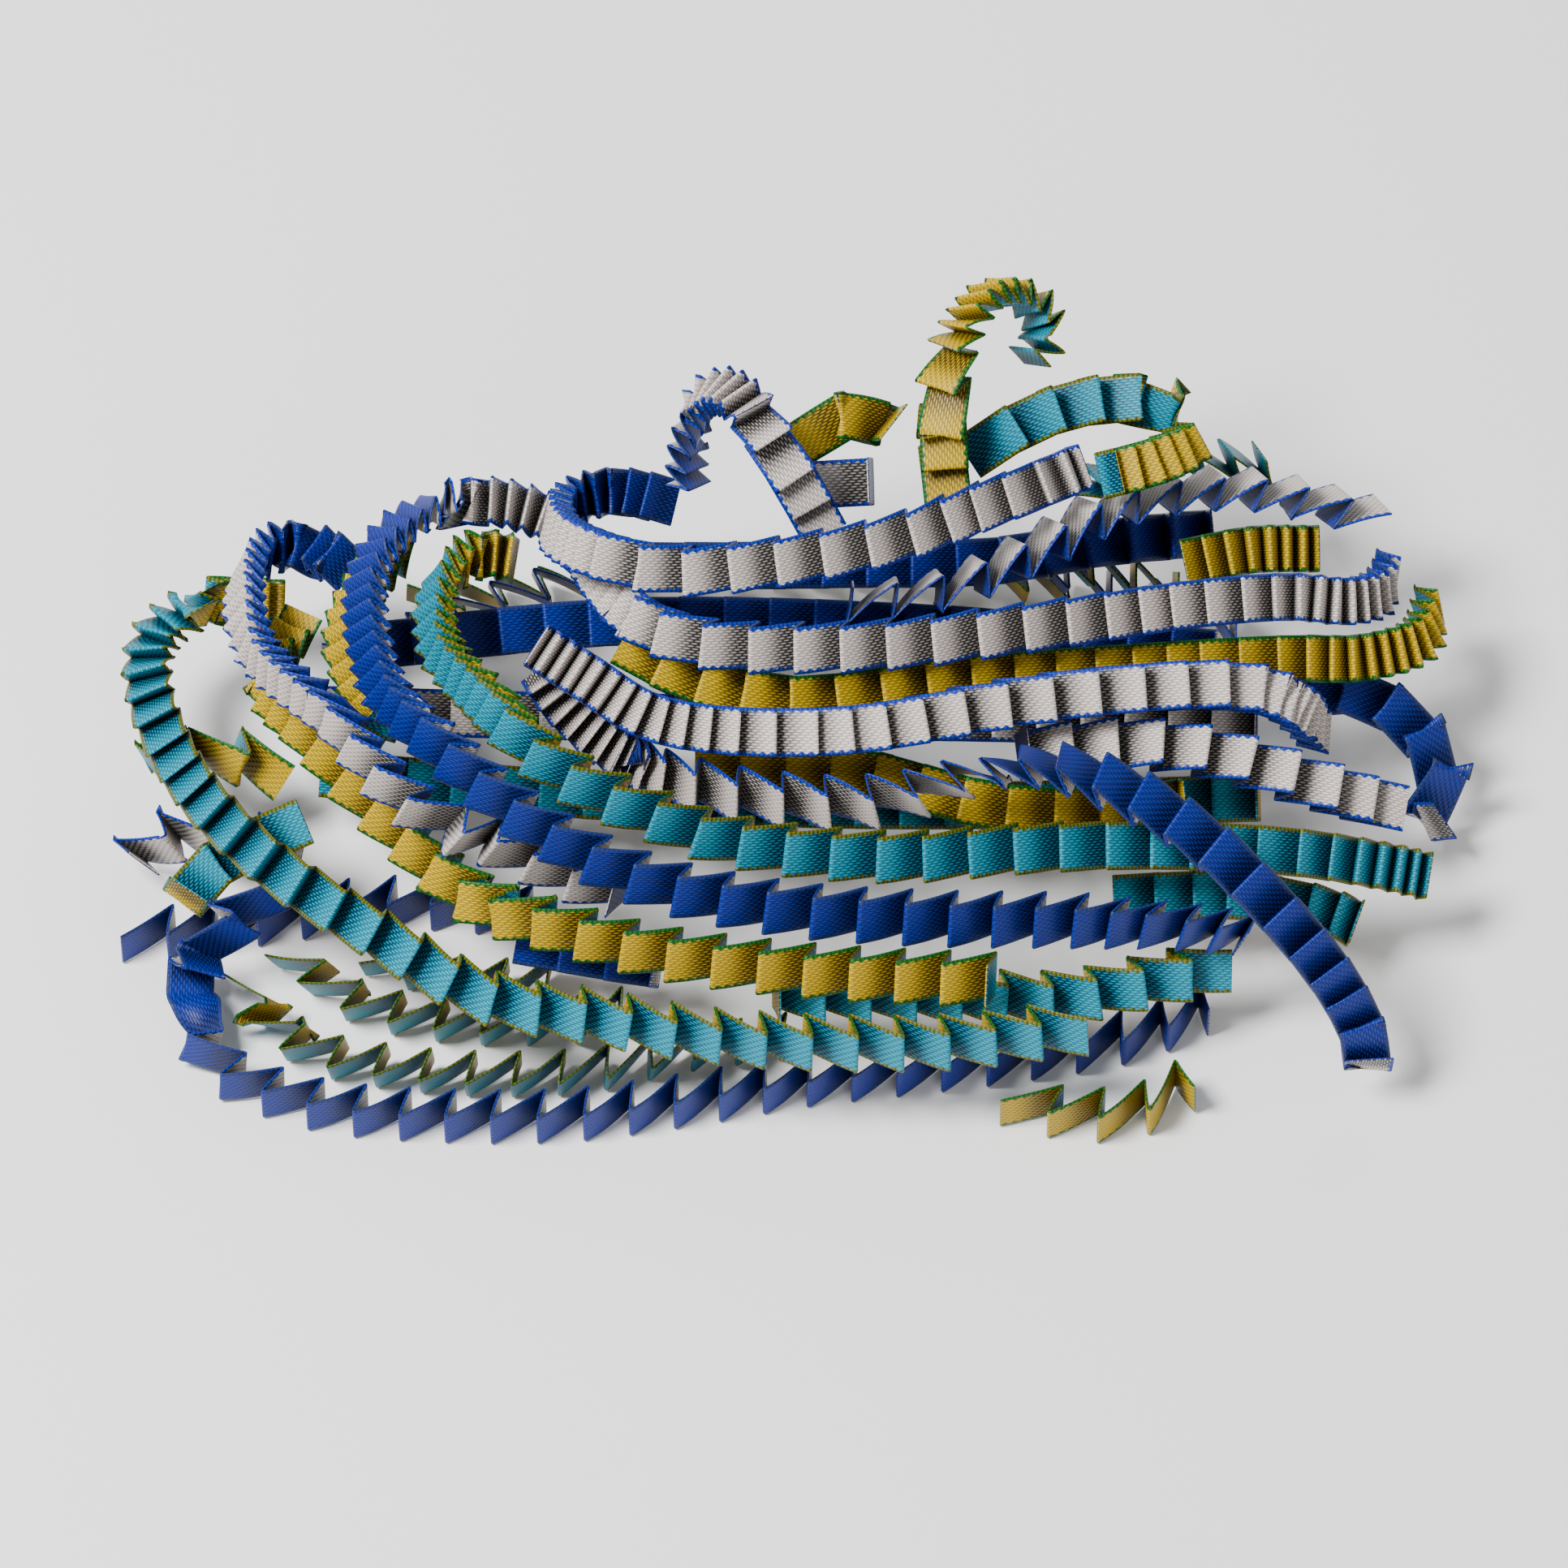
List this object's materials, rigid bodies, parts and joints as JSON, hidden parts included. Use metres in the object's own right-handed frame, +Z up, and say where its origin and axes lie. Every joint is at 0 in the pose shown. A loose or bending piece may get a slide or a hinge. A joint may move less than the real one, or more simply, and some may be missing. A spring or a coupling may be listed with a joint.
{
  "type": "heap of pleated satin ribbon",
  "caption": "Loose heap of knife-pleated two-tone satin ribbon: runs loop side by side over a mound, with free ends that curl out of it.",
  "frame": {"origin": "centre of the heap's box, on the surface it lies on", "axes": "+X along the heap's length, to the right as seen from its low front side; +Y from its front to its back; +Z up"},
  "size_m": [0.1716, 0.0992, 0.0559],
  "materials": {
    "blue_satin": "woven satin, knife-pleated",
    "silver_satin": "woven satin, knife-pleated",
    "turquoise_satin": "woven satin, knife-pleated",
    "yellow_satin": "woven satin, knife-pleated"
  },
  "bodies": {
    "heap": {"blue_back_run": "blue_satin", "blue_front_run": "blue_satin", "blue_hollow_run": "blue_satin", "blue_inner_run": "blue_satin", "blue_left_base": "blue_satin", "blue_main_run": "blue_satin", "blue_right_curl": "blue_satin", "blue_tail_run": "blue_satin", "silver_back_run": "silver_satin", "silver_box_fold": "silver_satin", "silver_inner_run": "silver_satin", "silver_left_end": "silver_satin", "silver_left_run": "silver_satin", "silver_low_run": "silver_satin", "silver_middle_run": "silver_satin", "silver_return_run": "silver_satin", "silver_top_curl": "silver_satin", "silver_top_loop": "silver_satin", "silver_upper_run": "silver_satin", "turquoise_back_run": "turquoise_satin", "turquoise_floor_run": "turquoise_satin", "turquoise_floor_run_back": "turquoise_satin", "turquoise_floor_run_middle": "turquoise_satin", "turquoise_front_run": "turquoise_satin", "turquoise_inner_run": "turquoise_satin", "turquoise_left_end": "turquoise_satin", "turquoise_main_run": "turquoise_satin", "turquoise_outer_loop": "turquoise_satin", "turquoise_return_run": "turquoise_satin", "turquoise_second_run": "turquoise_satin", "turquoise_top_loop": "yellow_satin", "yellow_back_run": "yellow_satin", "yellow_left_end": "yellow_satin", "yellow_main_run": "yellow_satin", "yellow_middle_run": "yellow_satin", "yellow_return_run": "yellow_satin", "yellow_right_curl": "yellow_satin", "yellow_second_run": "yellow_satin", "yellow_top_arch": "yellow_satin", "yellow_top_curl": "yellow_satin", "yellow_upper_run": "yellow_satin"},
    "blue_tail": {"blue_tail": "blue_satin"},
    "yellow_top_curl_tip": {"yellow_top_curl_tip": "yellow_satin"},
    "silver_top_curl_tip": {"silver_top_curl_tip": "silver_satin"},
    "turquoise_top_loop_tip": {"turquoise_top_loop_tip": "yellow_satin"},
    "blue_right_curl_tip": {"blue_right_curl_tip": "blue_satin"},
    "yellow_right_curl_tip": {"yellow_right_curl_tip": "yellow_satin"},
    "yellow_left_tip": {"yellow_left_tip": "yellow_satin"},
    "silver_left_tip": {"silver_left_tip": "silver_satin"}
  },
  "joints": [
    {"name": "blue_tail_bend", "type": "hinge", "parent": "heap", "child": "blue_tail", "pos_m": [0.0328, -0.01517, 0.03572], "axis": [0.2007, 0.9089, -0.3655], "range_deg": [-15, 4], "stiffness_Nm_per_rad": 0.0005},
    {"name": "yellow_top_curl_tip_bend", "type": "hinge", "parent": "heap", "child": "yellow_top_curl_tip", "pos_m": [0.01874, 0.03558, 0.05192], "axis": [-0.6748, 0.6155, -0.4071], "range_deg": [-15, 4], "stiffness_Nm_per_rad": 0.0003},
    {"name": "silver_top_curl_tip_bend", "type": "hinge", "parent": "heap", "child": "silver_top_curl_tip", "pos_m": [-0.00477, 0.02722, 0.05049], "axis": [-0.8292, -0.5575, -0.0404], "range_deg": [-15, 1], "stiffness_Nm_per_rad": 0.0003},
    {"name": "turquoise_top_loop_tip_bend", "type": "hinge", "parent": "heap", "child": "turquoise_top_loop_tip", "pos_m": [0.04033, 0.03749, 0.03862], "axis": [0.0579, -0.8236, -0.5641], "range_deg": [-10, 2], "stiffness_Nm_per_rad": 0.0003},
    {"name": "blue_right_curl_tip_bend", "type": "hinge", "parent": "heap", "child": "blue_right_curl_tip", "pos_m": [0.07963, 0.00573, 0.00881], "axis": [0.7628, 0.626, 0.1619], "range_deg": [-12, 10], "stiffness_Nm_per_rad": 0.0002},
    {"name": "yellow_right_curl_tip_bend", "type": "hinge", "parent": "heap", "child": "yellow_right_curl_tip", "pos_m": [0.03778, -0.04894, 0.003], "axis": [-0.0022, 0, 1], "range_deg": [-20, 8], "stiffness_Nm_per_rad": 0.0002},
    {"name": "yellow_left_tip_bend", "type": "hinge", "parent": "heap", "child": "yellow_left_tip", "pos_m": [-0.07557, 0.00317, 0.01274], "axis": [0.1869, -0.1029, -0.977], "range_deg": [-15, 15], "stiffness_Nm_per_rad": 0.0003},
    {"name": "silver_left_tip_bend", "type": "hinge", "parent": "heap", "child": "silver_left_tip", "pos_m": [-0.07213, -0.01177, 0.01055], "axis": [0.0152, -0.1287, -0.9916], "range_deg": [-15, 12], "stiffness_Nm_per_rad": 0.0003}
  ]
}
